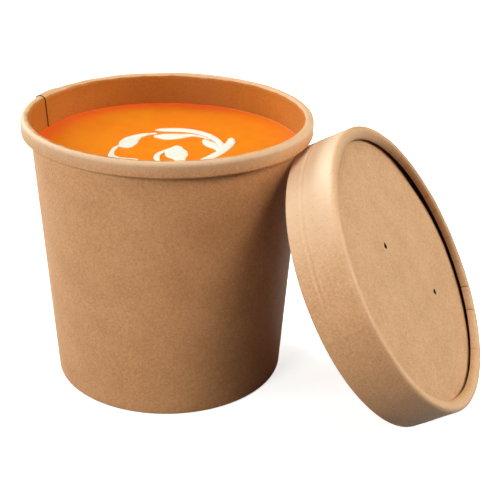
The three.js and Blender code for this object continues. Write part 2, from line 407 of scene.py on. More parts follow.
def joined(*stretches):
    """One path from several stretches, without the points that repeat."""
    path = np.vstack(stretches)
    moved = np.linalg.norm(np.diff(path, axis=0), axis=1) > SAME_POINT
    return path[np.concatenate([[True], moved])]


def normals(path):
    """Normals to the left of the way along a path, longer at corners so that a ply keeps its thickness."""
    way = np.diff(path, axis=0)
    way /= np.linalg.norm(way, axis=1)[:, None]
    before = np.vstack([way[:1], way])
    after = np.vstack([way, way[-1:]])
    bisector = before + after
    bisector /= np.linalg.norm(bisector, axis=1)[:, None]
    reach = 1.0 / np.sum(bisector * before, axis=1)
    return np.column_stack([-bisector[:, 1], bisector[:, 0]]) * reach[:, None]


def evenly(count, *steps, spread=(0.0,)):
    """Directions round an axis, with extra ones at each step."""
    turns = [2 * math.pi * i / count for i in range(count)]
    for step in steps:
        turns += [(step + offset) % (2 * math.pi) for offset in spread]
    return np.array(sorted(set(turns)))


def turned(name, turns, right, left, materials, slots=None):
    """A sheet turned about the Z axis. right and left are its two sides, as arrays of radius and height for
    each direction and each point along the path."""
    outline = np.concatenate([right, left[:, ::-1]], axis=1)
    count, around = len(turns), outline.shape[1]
    points = np.empty((count, around, 3))
    points[..., 0] = outline[..., 0] * np.cos(turns)[:, None]
    points[..., 1] = outline[..., 0] * np.sin(turns)[:, None]
    points[..., 2] = outline[..., 1]
    index = np.arange(count * around).reshape(count, around)
    across = np.roll(index, -1, axis=0)
    faces = np.stack(
        [index, across, np.roll(across, -1, axis=1), np.roll(index, -1, axis=1)], axis=-1
    ).reshape(-1, 4)
    piece = mesh_piece(name, points.reshape(-1, 3), faces, materials)
    if slots is not None:
        piece.data.polygons.foreach_set("material_index", slots.reshape(-1).astype(np.int32))
    return piece


def mesh_piece(name, points, faces, materials, crease=35.0):
    """A piece with smooth faces, and sharp edges where they meet at more than the crease angle in degrees."""
    mesh = bpy.data.meshes.new(name)
    mesh.from_pydata([tuple(point) for point in points], [], [tuple(int(i) for i in face) for face in faces])
    for material in materials:
        mesh.materials.append(material)
    mesh.shade_smooth()
    mesh.set_sharp_from_angle(angle=math.radians(crease))
    piece = bpy.data.objects.new(name, mesh)
    bpy.context.scene.collection.objects.link(piece)
    return piece


def weld(piece, distance=1e-6):
    """Merges points that coincide, such as those on the axis, and points the faces outwards."""
    sheet = bmesh.new()
    sheet.from_mesh(piece.data)
    bmesh.ops.remove_doubles(sheet, verts=sheet.verts, dist=distance)
    bmesh.ops.recalc_face_normals(sheet, faces=sheet.faces)
    sheet.to_mesh(piece.data)
    sheet.free()


def apply_modifiers(piece):
    """Bakes a piece's modifiers into its mesh."""
    depsgraph = bpy.context.evaluated_depsgraph_get()
    made = bpy.data.meshes.new_from_object(piece.evaluated_get(depsgraph))
    piece.modifiers.clear()
    piece.data = made


def wobble(turns, seed, coarse, octaves=3):
    """Smooth unevenness round an axis, about -1 to 1."""
    values = []
    for turn in turns:
        spot = Vector((math.cos(turn) * coarse, math.sin(turn) * coarse, seed))
        values.append(noise.fractal(spot, 1.0, 2.0, octaves))
    return np.array(values)


def apart(turns, centre):
    """Angle from a direction to each of turns, between -pi and pi."""
    return (turns - centre + math.pi) % (2 * math.pi) - math.pi


def bulge(distance, width):
    """1 where the distance is 0, fading to 0 within about twice the width."""
    return np.exp(-((distance / width) ** 2))


def settled(piece, node, matrix):
    """Puts a finished piece in its place, where it rides with the object, and hides the imported node that it
    stands for."""
    piece.data.transform(matrix)
    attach(piece, BODY)
    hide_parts(node)
    return piece


# Cup
SIDES = 288
STEP_SPREAD = (-0.0003, 0.0003)
LAP_THICKNESS = 0.5 * MM
LAP_FADE = 14 * MM
# Dents in the rim's roll: direction and width in degrees, depth in millimetres
ROLL_DENTS = ((144.5, 2.5, 0.35), (135.0, 2.2, 0.3), (121.0, 4.0, 0.35), (98.0, 5.0, 0.25), (85.0, 4.0, -0.2))
ROLL_UNEVEN = 0.1 * MM
ROLL_FULLNESS = 0.9
ROLL_TOP = 1.8 * MM
ROLL_FOOT = 1.1 * MM
ROLL_CURL = 1.9 * MM
ROLL_EASE_POINTS = 10
LINED_POINTS_PAST_TOP = 3
FOOT_BEND = 0.75 * MM
BASE_BEND = 1.5 * MM
SKIRT_LOW = 2 * MM
SKIRT_DRAW_IN = 0.5 * MM
SEAM_RISE = 2 * MM
LINING_WANDER = 1.0 * MM
LINING_FULL_BELOW = 0.75 * MM
LINING_NONE_ABOVE = 0.25 * MM
# Depth over which the roll turns paler towards its top, partly a painted highlight.
ROLL_PALE_AND_HIGHLIGHT_DEPTH = 6.5 * MM
STREAKS_AROUND = 55.0
STREAKS_UP = 60.0
RAW_EDGE_TURN = 2e-4
RIM_TIP = 0.6 * MM
RIM_TIP_TOWARDS = math.radians(65)


def wall_middle(cup, z):
    """Radius of the middle of the side wall's paper at a height."""
    return cup.foot_radius + z * math.tan(cup.wall_lean) - cup.paper / 2


def cup_wall_path(cup):
    """Middle of the wall's paper, from the hem round the foot, up the side and over into the rim's roll,
    which stands in line with the wall inside and has a flat face outside. Also tells after how many points
    the hem ends and the roll starts."""
    spacing = 2 * cup.paper + 2 * cup.ply_gap
    bend = FOOT_BEND
    low = cup.paper / 2
    hem_top = (wall_middle(cup, cup.hem_height) - spacing, cup.hem_height)
    inner = wall_middle(cup, low) - spacing
    outer = wall_middle(cup, low)
    hem = joined(
        line(hem_top, (inner, low + bend), 8),
        arc((inner + bend, low + bend), (bend, bend), 180, 270, 5),
    )
    foot = joined(hem, arc((outer - bend, low + bend), (bend, bend), 270, 360, 5))
    shoulder = cup.height - cup.paper / 2 - ROLL_TOP
    inside = wall_middle(cup, shoulder)
    face = cup.rim_radius - cup.paper / 2
    lowest = cup.height - cup.roll_height + cup.paper / 2
    roll = joined(
        arc(((inside + face) / 2, shoulder), ((face - inside) / 2, ROLL_TOP), 180, 0, 36, ROLL_FULLNESS),
        line((face, shoulder), (face, lowest + ROLL_FOOT), 10),
        arc((face - ROLL_CURL, lowest + ROLL_FOOT), (ROLL_CURL, ROLL_FOOT), 0, -95, 16),
    )
    side = line((outer, low + bend), (inside, shoulder), 30)
    return joined(foot, side, roll), len(hem), len(foot) + len(side) - 2


def cup_wall_mesh(cup, materials):
    """The side wall as one sheet of paper with its lap seam and an uneven roll round the rim."""
    path, hem_end, roll_start = cup_wall_path(cup)
    lap_turn = cup.lap_width / cup.rim_radius
    inner_edge = cup.seam_angle
    outer_edge = cup.seam_angle - lap_turn
    turns = evenly(SIDES, inner_edge, outer_edge, spread=STEP_SPREAD)
    inside = lap_profile(-apart(turns, inner_edge), cup)
    outside = lap_profile(apart(turns, outer_edge), cup)
    above_base = np.clip((path[:, 1] - cup.base_level) / SEAM_RISE, 0, 1)
    above_base[:hem_end] = 0
    on_roll = eased_in(len(path), roll_start, ROLL_EASE_POINTS)
    side = normals(path)
    up_roll = np.clip((path[:, 1] - cup.height + cup.roll_height) / cup.roll_height, 0, 1)
    stray = roll_uneven(turns)[:, None, :] * np.stack([on_roll, on_roll * up_roll], axis=-1)[None]
    middle = path[None] + stray
    left_lift = (cup.paper / 2 + inside[:, None] * above_base[None])[..., None]
    right_lift = (cup.paper / 2 + outside[:, None] * (above_base * (1 - on_roll))[None])[..., None]
    left = middle + side[None] * left_lift
    right = middle - side[None] * right_lift
    slots = cup_wall_slots(turns, path, hem_end, inner_edge)
    return turned("cup_wall_paper", turns, right, left, materials, slots)


def eased_in(count, start, points):
    """Share of each of count points along a path: 0 up to start, then rising to 1 over some points."""
    return np.clip((np.arange(count) - start) / points, 0, 1)


def lap_profile(past, cup):
    """Extra thickness of a lapped end: full just past its raw edge, fading out beyond the lap."""
    along = past * cup.rim_radius
    fade = 1 - np.clip((along - cup.lap_width) / LAP_FADE, 0, 1)
    smooth = fade * fade * (3 - 2 * fade)
    return np.where(along > 0, LAP_THICKNESS * smooth, 0)


def roll_uneven(turns):
    """How the roll strays from a true round, as radius and height for each direction."""
    out = wobble(turns, seed=3.1, coarse=4.0) * ROLL_UNEVEN
    up = wobble(turns, seed=8.7, coarse=3.0) * ROLL_UNEVEN * 0.7 + RIM_TIP * np.cos(turns - RIM_TIP_TOWARDS)
    for degrees, width, depth in ROLL_DENTS:
        dent = bulge(apart(turns, math.radians(degrees)), math.radians(width)) * depth * MM
        out = out - dent
        up = up - dent * 0.4
    return np.column_stack([out, up])


def cup_wall_slots(turns, path, hem_end, inner_edge):
    """Material of each face: 0 kraft outside and on the roll, 1 lining inside, 2 raw edge."""
    count = len(path)
    slots = np.zeros((len(turns), 2 * count), int)
    lined_end = int(np.argmax(path[:, 1])) + LINED_POINTS_PAST_TOP
    around_sheet = np.arange(2 * count)
    inside = around_sheet >= count
    position = 2 * count - 1 - around_sheet
    slots[:, inside & (position < lined_end) & (position > hem_end)] = 1
    middles = (turns + np.roll(turns, -1)) / 2
    slots[np.abs(apart(middles, inner_edge)) < RAW_EDGE_TURN] = np.where(inside, 2, 0)
    return slots


def lining_depth(cup, shader, place):
    """1 well down inside the cup, 0 where the paper comes up onto the roll."""
    height = shader.split(place)[2]
    wander = (shader.noise(place, 7 * MM, 3.0) - 0.5) * LINING_WANDER
    return 1.0 - (height + wander).ramp(cup.height - LINING_FULL_BELOW, cup.height - LINING_NONE_ABOVE)


def cross_streaks(shader, place):
    """Fine creases that run across a roll or fold, which hardly change along their way."""
    x, y, z = shader.split(place)
    around = y.direction(x)
    spot = shader.join(around * STREAKS_AROUND, z * STREAKS_UP, 0.0)
    return shader.noise(spot, 1.6, 3.0, 0.65) * 0.8


def roll_pale_and_highlight_mask(cup):
    """Paper paler where it is stretched round the roll, with a painted highlight on its top: 1 on the roll's
    top, 0 on the wall below it.
    """

    def mask(shader, place):
        height = shader.split(place)[2]
        return height.ramp(cup.height - ROLL_PALE_AND_HIGHLIGHT_DEPTH, cup.height) * 0.8

    return mask


def lining(cup, finish):
    """Coated paper inside the cup: kraft on the roll, and below it a colour that paints the soup's orange
    light reflected on the paper and the shade inside the cup.
    """
    shader = new_shader("coated lining")
    place = shader.place(CUP_PLACE)
    tone = paper_tone(shader, place)
    deep = lining_depth(cup, shader, place)
    mottle = tone.ramp(0.1, 0.95)
    dark = scaled(finish.lining, (0.8, 0.8, 0.8, 1.0))
    light = scaled(finish.lining, (1.2, 1.2, 1.2, 1.0))
    soup_glow_and_shade = shader.mix(mottle, dark, light)
    # On the roll the kraft is mixed with the pale colour, partly a painted highlight.
    rim = shader.mix(mottle, tuple(finish.cup), tuple(finish.pale))
    x, y = shader.split(place)[:2]
    # Painted shade: the lining darkens towards the back wall, mixed towards the raw edge colour.
    back = (y - abs(x) * 0.6).ramp(0.0, 50 * MM) * deep
    return shader.finish(
        Base_Color=shader.mix(back * 0.27, shader.mix(deep, rim, soup_glow_and_shade), tuple(finish.raw_edge)),
        Roughness=0.55 - deep * 0.1,
        Specular_IOR_Level=0.2,
        Normal=shader.bump(tone + cross_streaks(shader, place), PAPER_RELIEF, 0.5),
    )


def raw_edge(finish):
    """Cut edge of the paper along the seam, coloured near black."""
    shader = new_shader("raw paper edge")
    tone = paper_tone(shader, shader.place(CUP_PLACE))
    return shader.finish(
        Base_Color=shader.mix(tone, tuple(finish.raw_edge), tuple(finish.fibre)), Roughness=0.8
    )


class SOUPCUP_OT_cup_wall(Operator):
    """Side wall of the cup with its lap seam, hem and rolled rim"""

    bl_idname = "soupcup.cup_wall"
    bl_label = "Cup wall"

    def execute(self, context):
        cup = context.scene.soup_cup
        finish = context.scene.soup_paper
        outside = kraft("cup kraft", tuple(finish.cup), finish, CUP_PLACE, finish.pale, roll_pale_and_highlight_mask(cup),
                        cross_streaks)
        piece = cup_wall_mesh(cup, [outside, lining(cup, finish), raw_edge(finish)])
        settled(piece, "cup_wall", CUP_PLACE)
        return {"FINISHED"}


class SOUPCUP_OT_cup_base(Operator):
    """Base disc of the cup with its skirt"""

    bl_idname = "soupcup.cup_base"
    bl_label = "Cup base"

    def execute(self, context):
        cup = context.scene.soup_cup
        finish = context.scene.soup_paper
        level = cup.base_level
        bend = BASE_BEND
        skirt = wall_middle(cup, level) - cup.paper - cup.ply_gap
        path = joined(
            line((skirt - SKIRT_DRAW_IN, SKIRT_LOW), (skirt, level - bend), 6),
            arc((skirt - bend, level - bend), (bend, bend), 0, 90, 8),
            line((skirt - bend, level), (0.0, level), 24),
        )
        turns = evenly(SIDES // 2)
        side = normals(path) * cup.paper / 2
        side[-1, 0] = 0.0
        right = np.repeat((path - side)[None], len(turns), axis=0)
        left = np.repeat((path + side)[None], len(turns), axis=0)
        material = kraft("base kraft", tuple(finish.cup), finish, CUP_PLACE)
        piece = turned("cup_base_disc", turns, right, left, [material])
        weld(piece)
        settled(piece, "cup_base", CUP_PLACE)
        return {"FINISHED"}


# Soup and cream
SOUP_REACH = 0.3 * MM
RIPPLE = 0.05 * MM
RIPPLE_SIZE = 14 * MM
MENISCUS_FADE = 1.1 * MM
MENISCUS_ZONE = 6 * MM
EDGE_BAND = 13 * MM
EDGE_SOLID = 1 * MM
SOUP_CLOUD = 45 * MM
SOUP_SWIRL = 7 * MM
# Painted highlight along the soup's edge: its band, its direction and where it fades.
MENISCUS_HIGHLIGHT_BAND = (0.55 * MM, 0.35 * MM)
MENISCUS_HIGHLIGHT_TOWARDS = math.radians(35)
MENISCUS_HIGHLIGHT_ENDS = (math.radians(20), math.radians(42))
CREAM_VOXEL = 0.22 * MM
CREAM_ROOT = 0.5 * MM
CREAM_DRAW_IN = 0.1 * MM
CREAM_STEEPNESS = 0.55


def soup_level(soup):
    """Height of the soup's surface below the cream."""
    return soup_high.z - soup.cream_height


def soup_mesh(cup, soup, material):
    """Soup from just above the base to its level, with a meniscus where it meets the paper."""
    level = soup_level(soup)
    low = soup_low.z
    edge = wall_middle(cup, level) - cup.paper / 2
    inward = np.concatenate([np.linspace(0, MENISCUS_ZONE, 22), np.linspace(MENISCUS_ZONE, edge, 60)[1:]])
    climb = soup.meniscus * np.exp(-inward / MENISCUS_FADE)
    top = np.column_stack([edge - inward, level + climb])
    top = np.vstack([[edge + SOUP_REACH, level + soup.meniscus], top])
    bottom = wall_middle(cup, low) - cup.paper
    under = np.array([[0.0, low], [bottom, low], [wall_middle(cup, level / 2) - cup.paper / 2, level / 2]])
    outline = np.vstack([under, top])
    turns = evenly(SIDES)
    rings = np.repeat(outline[None], len(turns), axis=0)
    across = rings[..., 0, None] * np.stack([np.cos(turns), np.sin(turns)], axis=-1)[:, None, :]
    for i in range(len(turns)):
        for j in range(len(under) + 1, rings.shape[1]):
            spot = Vector((across[i, j, 0], across[i, j, 1], 0.0)) / RIPPLE_SIZE
            rings[i, j, 1] += RIPPLE * noise.noise(spot)
    half = len(under)
    piece = turned("soup_liquid", turns, rings[:, :half], rings[:, half:][:, ::-1], [material])
    weld(piece)
    return piece


def stroke_mesh(stops, level, height, steps=70, across=14):
    """Points and faces of one stroke of cream: domed on top, flat below, with round ends."""
    stops = np.array(stops, float) * MM
    chord = np.concatenate([[0], np.cumsum(np.linalg.norm(np.diff(stops[:, :2], axis=0), axis=1))])
    t = np.linspace(0, chord[-1], steps)
    path = smooth_through(stops, chord, t)
    way = np.gradient(path[:, :2], axis=0)
    way /= np.linalg.norm(way, axis=1)[:, None]
    half = path[:, 2] - CREAM_DRAW_IN
    start_centres, start_reach = round_end(path[0], -way[0], half[0])
    end_centres, end_reach = round_end(path[-1], way[-1], half[-1])
    centre = np.vstack([start_centres[::-1], path[:, :2], end_centres])
    reach = np.concatenate([start_reach[::-1], half, end_reach])
    ways = np.vstack([np.repeat(way[:1], len(start_reach), 0), way, np.repeat(way[-1:], len(end_reach), 0)])
    side = np.column_stack([-ways[:, 1], ways[:, 0]])
    u = np.sin(np.linspace(-math.pi / 2, math.pi / 2, across))
    flat = centre[:, None] + side[:, None] * (reach[:, None] * u[None])[..., None]
    tall = np.minimum(height, reach * CREAM_STEEPNESS)
    top = level + tall[:, None] * np.sqrt(np.clip(1 - np.abs(u[None]) ** 3, 0, 1))
    low = np.full_like(top, level - CREAM_ROOT)
    upper = np.concatenate([flat, top[..., None]], axis=-1)
    lower = np.concatenate([flat, low[..., None]], axis=-1)
    return closed_sheet(upper, lower)


def smooth_through(stops, chord, t):
    """A smooth curve through stops, which lie at the distances in chord, at the distances t."""
    tangents = np.gradient(stops, chord, axis=0)
    i = np.clip(np.searchsorted(chord, t, side="right") - 1, 0, len(chord) - 2)
    span = (chord[i + 1] - chord[i])[:, None]
    s = (t[:, None] - chord[i][:, None]) / span
    return (
        (2 * s**3 - 3 * s**2 + 1) * stops[i]
        + (s**3 - 2 * s**2 + s) * span * tangents[i]
        + (3 * s**2 - 2 * s**3) * stops[i + 1]
        + (s**3 - s**2) * span * tangents[i + 1]
    )


def round_end(point, way, half, steps=7):
    """Centres and half widths that close a stroke with a half circle."""
    turn = np.linspace(0, math.pi / 2, steps + 1)[1:]
    centres = point[None, :2] + way[None] * (np.sin(turn) * half)[:, None]
    return centres, np.maximum(np.cos(turn) * half, 0.01 * MM)


def closed_sheet(upper, lower):
    """Points and faces of the closed body between two grids of the same shape."""
    rows, columns = upper.shape[:2]
    points = np.concatenate([upper.reshape(-1, 3), lower.reshape(-1, 3)])
    top = np.arange(rows * columns).reshape(rows, columns)
    bottom = top + rows * columns
    faces = []
    for i in range(rows - 1):
        for j in range(columns - 1):
            faces.append((top[i, j], top[i + 1, j], top[i + 1, j + 1], top[i, j + 1]))
            faces.append((bottom[i, j], bottom[i, j + 1], bottom[i + 1, j + 1], bottom[i + 1, j]))
    for i in range(rows - 1):
        faces.append((top[i, 0], bottom[i, 0], bottom[i + 1, 0], top[i + 1, 0]))
        faces.append((top[i, -1], top[i + 1, -1], bottom[i + 1, -1], bottom[i, -1]))
    for j in range(columns - 1):
        faces.append((top[0, j], top[0, j + 1], bottom[0, j + 1], bottom[0, j]))
        faces.append((top[-1, j], bottom[-1, j], bottom[-1, j + 1], top[-1, j + 1]))
    return points, faces


def cream_mesh(soup, material):
    """All strokes of cream, run together into one soft relief."""
    points, faces = [], []
    level = soup_level(soup)
    for stops in CREAM_STROKES:
        stroke_points, stroke_faces = stroke_mesh(stops, level, soup.cream_height)
        first = sum(len(group) for group in points)
        points.append(stroke_points)
        faces += [tuple(i + first for i in face) for face in stroke_faces]
    piece = mesh_piece("cream_swirl", np.concatenate(points), faces, [material])
    blend = piece.modifiers.new("run together", "REMESH")
    blend.mode = "VOXEL"
    blend.voxel_size = CREAM_VOXEL
    blend.use_smooth_shade = True
    soften = piece.modifiers.new("soften", "SMOOTH")
    soften.factor = 0.5
    soften.iterations = 4
    apply_modifiers(piece)
    return piece


def soup_surface(cup, soup, finish):
    """Smooth orange soup, yellower in broad patches, and redder near the paper with a painted reflection of
    the wall and painted shade, strongest at the back.
    """
    shader = new_shader("soup")
    place = shader.place(CUP_PLACE)
    x, y = shader.split(place)[:2]
    out = x.hypot(y)
    edge = wall_middle(cup, soup_level(soup))
    # Painted reflection and shade of the cup's wall, strongest towards the back.
    behind = (y - x * 0.7).ramp(0.0, 40 * MM)
    near = out.ramp(edge - EDGE_BAND, edge - EDGE_SOLID) * (behind * 0.8 + 0.2)
    cloud = shader.noise(place, SOUP_CLOUD, 1.0) * 0.6
    patch = (cloud + shader.noise(place, SOUP_SWIRL, 2.0) * 0.4).ramp(0.4, 0.64)
    body = shader.mix(patch, tuple(finish.soup), tuple(finish.soup_light))
    grain = shader.noise(place, 1.2 * MM, 3.0)
    # Painted highlight on the meniscus, on one side only.
    unlit = abs(y.direction(x) - MENISCUS_HIGHLIGHT_TOWARDS).ramp(*MENISCUS_HIGHLIGHT_ENDS)
    meniscus_highlight = out.ramp(*(edge - inward for inward in MENISCUS_HIGHLIGHT_BAND)) * (1.0 - unlit)
    body = shader.mix(near, body, tuple(finish.soup_wall_reflection_and_shade))
    return shader.finish(
        Base_Color=shader.mix(meniscus_highlight * 0.7, body, tuple(finish.meniscus)),
        Roughness=0.28 + grain * 0.08,
        Normal=shader.bump(grain, 0.02 * MM, 0.3),
        Specular_IOR_Level=0.08,
        Subsurface_Weight=0.15,
        Subsurface_Radius=(1.0, 0.35, 0.1),
        Subsurface_Scale=2 * MM,
    )


def cream_surface(soup, finish):
    """Cream, tinted by the soup where it thins out at its edges."""
    shader = new_shader("cream")
    place = shader.place(CUP_PLACE)
    height = shader.split(place)[2]
    level = soup_level(soup)
    thick = height.ramp(level - 0.02 * MM, level + soup.cream_height * 0.55)
    streak = shader.noise(place, 1.5 * MM, 3.0)
    body = shader.mix(streak * 0.25, tuple(finish.cream), tuple(finish.cream_edge))
    return shader.finish(
        Base_Color=shader.mix(thick, tuple(finish.cream_edge), body),
        Roughness=0.35,
        Normal=shader.bump(streak, 0.05 * MM, 0.3),
        Subsurface_Weight=0.2,
        Subsurface_Radius=(1.0, 0.7, 0.4),
        Subsurface_Scale=1.5 * MM,
    )


class SOUPCUP_OT_soup(Operator):
    """Soup up to its level, with the swirl of cream on it"""

    bl_idname = "soupcup.soup"
    bl_label = "Soup and cream"

    def execute(self, context):
        scene = context.scene
        cup, soup, finish = scene.soup_cup, scene.soup_soup, scene.soup_food
        liquid = soup_mesh(cup, soup, soup_surface(cup, soup, finish))
        settled(liquid, "soup", CUP_PLACE)
        cream = cream_mesh(soup, cream_surface(soup, finish))
        settled(cream, "soup", CUP_PLACE)
        return {"FINISHED"}


# Lid
# Ridges over the lid's hem in millimetres: height above the open end, width, and how far each stands out
LID_RIDGES = ((5.6, 0.4, 0.09), (6.8, 0.45, -0.09), (8.0, 0.4, 0.08))
# Creases across the fold: direction in degrees, and force
CREASES = ((143.3, 0.2), (125.9, 0.45), (112.1, 0.4), (54.9, 1.0), (43.6, 1.0), (22.5, 0.5))
# Extra directions round each crease, in radians, which give the groove its points
CREASE_SPREAD = (-0.012, -0.006, -0.003, 0.0, 0.003, 0.006, 0.012)
CREASE_WIDTH = 0.006
CREASE_DEPTH = 0.22 * MM
FOLD_UNEVEN = 0.15 * MM
FOLD_EASE_POINTS = 8
FOLD_OUTER_POINTS = 18
CREASE_EASE_POINTS = 6
VENTS = ((-13.5 * MM, -7.1 * MM), (19.8 * MM, 17.7 * MM))
FOLD_END_GAP = 1.35 * MM
# Where the lid is painted pale: the fold's depth, the side with painted sheen, and the span of the crest's
# painted highlight.
PALE_FOLD_DEPTH = 2.4 * MM
SHEEN_SIDE = (20 * MM, 52 * MM)
CREST_HIGHLIGHT_SPAN = (-10 * MM, 30 * MM)
SHADED_FOLD_DEPTH = 3.4 * MM
STREAKED_DEPTHS = (4 * MM, 2 * MM)
SHADE_FROM = (math.radians(35), math.radians(80))
SHADE_TO = (math.radians(120), math.radians(168))
# Painted shadow on the panel under the fold: its width, fade, wander and where it closes.
GAP_SHADOW_WIDTH = 2.0 * MM
GAP_SHADOW_FADE = 1.1 * MM
GAP_SHADOW_WANDER = 1.6 * MM
GAP_SHADOW_CLOSES_ABOVE = (math.radians(110), math.radians(150))
GAP_SHADOW_CLOSES_BELOW = (math.radians(15), math.radians(65))
FOLD_LEAN = 1.9 * MM
PANEL_DIP = 0.55 * MM
PANEL_DIP_AT = math.radians(112)
PANEL_DIP_WIDTH = math.radians(20)
PANEL_DIP_FROM = 42 * MM
PANEL_DIP_FULL = 54 * MM
PANEL_DIP_END = 57 * MM
PANEL_BEND = 0.7 * MM
PANEL_UNEVEN = 0.12 * MM
PANEL_WAVE = 30 * MM
PUNCH_REACH = 2 * MM
CONE_DEPTH = 1.5 * MM
# Section of a vent's cone: radius as a share of the vent's, and depth as a share of the cone's
CONE_SECTION = (
    (0.94, 0.16), (0.62, 0.58), (0.08, 0.96), (0.22, 1.0), (0.75, 0.65), (1.06, 0.25), (1.16, 0.0)
)


def skirt_middle(lid, cup, s):
    """Radius of the middle of the lid's side at a height above its open end."""
    return lid.radius + (lid.top_radius - lid.radius) * s / lid.height - cup.paper / 2


def lid_ring_path(lid, cup):
    """Middle of the ring's paper, from the hem round the open end, up the side and over the fold. Also tells
    after how many points the side and the fold start."""
    paper = cup.paper
    low = paper / 2
    bend = paper / 2 + 0.05 * MM
    hem_low, hem_high = (skirt_middle(lid, cup, s) - 2 * bend for s in (0, lid.hem))
    panel = lid.height - lid.panel_depth
    fold = (lid.fold_width - paper) / 2
    fold_centre = (lid.top_radius - lid.fold_width / 2, lid.height - lid.fold_width / 2)
    hem = joined(
        line((hem_high, lid.hem), (hem_low, low + bend), 16),
        arc((hem_low + bend, low + bend), (bend, bend), 180, 360, 10),
    )
    side = line((skirt_middle(lid, cup, 0), low + bend), (fold_centre[0] + fold, fold_centre[1]), 60)
    bead = (fold + FOLD_LEAN, lid.height - paper / 2 - panel - paper / 2 - FOLD_END_GAP)
    bead_centre = (fold_centre[0], lid.height - paper / 2 - bead[1])
    fold_arcs = arc(fold_centre, (fold, fold), 0, 90, 14), arc(bead_centre, bead, 90, 178, 24)
    return joined(hem, side, *fold_arcs), len(hem), len(hem) + len(side) - 1


def lid_matrix(lid, cup):
    """Places the lid's own axes, with the middle of its open end at the origin, in the frame."""
    path = lid_ring_path(lid, cup)[0]
    outer = path - normals(path) * cup.paper / 2
    drop = np.max(outer[:, 0] * math.sin(lid.tilt) - outer[:, 1] * math.cos(lid.tilt))
    spot = Vector((lid.reach * math.cos(lid.bearing), lid.reach * math.sin(lid.bearing), drop)) + CUP_AXIS
    turn = Matrix.Rotation(lid.heading, 4, "Z") @ Matrix.Rotation(lid.tilt, 4, "Y")
    return Matrix.Translation(spot) @ turn


def lid_ring_mesh(lid, cup, materials):
    """The ring as one sheet of paper, with ridges over its hem and creases across its fold."""
    path, side_start, fold_start = lid_ring_path(lid, cup)
    creases = [math.radians(degrees) for degrees, force in CREASES]
    turns = evenly(SIDES, *creases, spread=CREASE_SPREAD)
    side = normals(path)
    height = path[:, 1] / MM
    ridge = sum(depth * MM * bulge(height - s, width) for s, width, depth in LID_RIDGES)
    ridge[:side_start] = 0
    on_fold = eased_in(len(path), fold_start, FOLD_EASE_POINTS)
    inner_fold = eased_in(len(path), fold_start + FOLD_OUTER_POINTS, CREASE_EASE_POINTS)
    groove = CREASE_DEPTH * sum(
        force * bulge(apart(turns, math.radians(degrees)), CREASE_WIDTH) for degrees, force in CREASES
    )
    uneven = wobble(turns, seed=5.3, coarse=5.0) * FOLD_UNEVEN
    depth = cup.paper / 2 + ridge[None] + on_fold[None] * uneven[:, None] - inner_fold[None] * groove[:, None]
    right = path[None] - side[None] * depth[..., None]
    left = path[None] + side[None] * np.full_like(depth, cup.paper / 2)[..., None]
    return turned("lid_ring_paper", turns, right, left, materials)


def panel_mesh(lid, cup, materials):
    """The panel let into the ring, its flange turned up, slightly uneven, with two vents punched in it."""
    level = lid.height - lid.panel_depth
    bend = PANEL_BEND
    flange = lid.flange_radius
    path = joined(
        line((flange, level + lid.flange_height), (flange, level + bend), 4),
        arc((flange - bend, level + bend), (bend, bend), 0, -90, 6),
        line((flange - bend, level), (0.0, level), 48),
    )
    turns = evenly(SIDES)
    side = normals(path) * cup.paper / 2
    side[-1, 0] = 0.0
    sheet = np.repeat(path[None], len(turns), axis=0)
    for i, turn in enumerate(turns):
        for j in range(len(path)):
            spot = Vector((math.cos(turn), math.sin(turn), 0.0)) * path[j, 0] / PANEL_WAVE
            sheet[i, j, 1] += PANEL_UNEVEN * noise.noise(spot + Vector((0, 0, 2.4)))
            sheet[i, j, 1] -= panel_dip(turn, path[j, 0])
    piece = turned("lid_panel_paper", turns, sheet + side[None], sheet - side[None], materials)
    weld(piece)
    cutter = vent_cutter(lid, level)
    cut = piece.modifiers.new("vents", "BOOLEAN")
    cut.operation = "DIFFERENCE"
    cut.solver = "EXACT"
    cut.object = cutter
    apply_modifiers(piece)
    bpy.data.objects.remove(cutter)
    return piece


def panel_dip(turn, out):
    """How far the panel is pressed down near its edge, where the ring's fold is thickest."""
    near = np.clip((out - PANEL_DIP_FROM) / (PANEL_DIP_FULL - PANEL_DIP_FROM), 0, 1) * (out < PANEL_DIP_END)
    return PANEL_DIP * near * bulge(apart(turn, PANEL_DIP_AT), PANEL_DIP_WIDTH)


def vent_cutter(lid, level, sides=28):
    """Slightly uneven punches for the vents."""
    points, faces = [], []
    for number, (x, y) in enumerate(VENTS):
        first = len(points)
        for z in (level - PUNCH_REACH, level + PUNCH_REACH):
            for i in range(sides):
                turn = 2 * math.pi * i / sides
                reach = lid.vent_radius * (1 + 0.12 * math.sin(3 * turn + number) + 0.06 * math.sin(7 * turn))
                points.append((x + reach * math.cos(turn), y + reach * math.sin(turn), z))
        faces.append(tuple(range(first + sides - 1, first - 1, -1)))
        faces.append(tuple(range(first + sides, first + 2 * sides)))
        for i in range(sides):
            j = (i + 1) % sides
            faces.append((first + i, first + j, first + sides + j, first + sides + i))
    return mesh_piece("vent_cutter", points, faces, [])


def torn_kraft_in_painted_shade(finish, matrix):
    """Rough torn paper that hardly any light reaches, coloured near black as painted shade."""
    shader = new_shader("torn kraft in shade")
    tone = paper_tone(shader, shader.place(matrix))
    return shader.finish(
        Base_Color=shader.mix(tone, tuple(finish.torn), tuple(finish.raw_edge)),
        Roughness=0.9,
        Specular_IOR_Level=0.0,
    )


